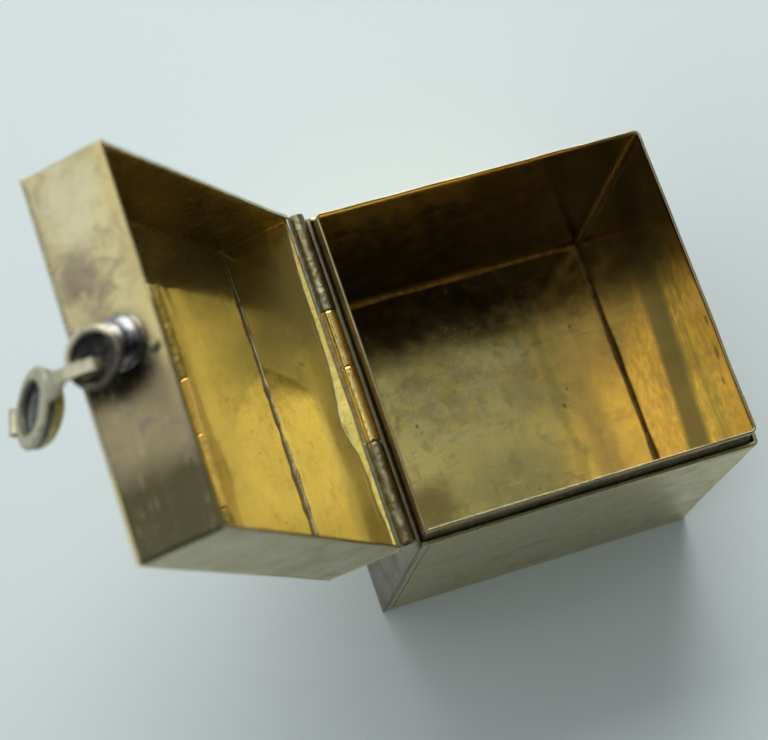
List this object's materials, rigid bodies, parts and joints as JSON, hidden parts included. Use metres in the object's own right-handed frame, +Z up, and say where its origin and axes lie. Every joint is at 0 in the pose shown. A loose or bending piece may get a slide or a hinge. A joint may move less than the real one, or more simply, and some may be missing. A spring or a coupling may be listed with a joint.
{
  "type": "tabernacle box",
  "caption": "Small rectangular sheet-metal box with a raised gilt inner lining, a barrel-hinged lid standing open and a hooked drop pull on the lid's front.",
  "frame": {"origin": "centre of the underside of the box floor, on the hinge's mid-depth lines of the box body", "axes": "+Z up; +Y towards the hinge side, so the front with the drop pull faces -Y when the lid is closed; +X towards the right-hand side seen from the front"},
  "size_m": [0.0791, 0.157, 0.1368],
  "materials": {
    "tarnished_silver": "tarnished silver sheet, satin, finely scratched",
    "gilt": "worn mercury gilding, glossy",
    "gilt_floor": "rubbed gilding with a grey haze and fine curved scratches",
    "bronze": "dark patinated tube, lumpy with solder",
    "solder": "rough hard solder",
    "bright_silver": "bright turned silver",
    "pale_gilt": "pale worn gilding, satin",
    "wire": "dark drawn wire"
  },
  "bodies": {
    "box": {"box_floor": "gilt_floor", "box_wrap": "tarnished_silver", "box_back_plate": "tarnished_silver", "inner_lining": "gilt", "lining_floor_solder": "solder", "hinge_knuckle_near": "bronze", "hinge_knuckle_far": "bronze", "hinge_solder_near": "bronze", "hinge_solder_far": "bronze", "hinge_pin": "wire"},
    "lid": {"lid_top_plate": "gilt", "lid_wrap": "tarnished_silver", "lid_back_plate": "tarnished_silver", "lid_seam_solder": "solder", "lid_knuckle_long": "gilt", "lid_knuckle_short": "gilt", "hinge_solder_lid": "solder", "pull_collar": "bright_silver", "pull_rove": "pale_gilt", "pull_eye": "pale_gilt", "front_bead": "bronze"},
    "drop": {"pull_drop": "pale_gilt", "pull_drop_back": "gilt"}
  },
  "joints": [
    {"name": "lid_hinge", "type": "hinge", "parent": "box", "child": "lid", "pos_m": [0, 0.0421, 0.065], "axis": [-1, 0, 0], "range_deg": [-122.76, 57.24]},
    {"name": "drop_swing", "type": "hinge", "parent": "lid", "child": "drop", "pos_m": [-0.0026, 0.10381, 0.13029], "axis": [1, 0, 0], "range_deg": [0, 150]}
  ]
}
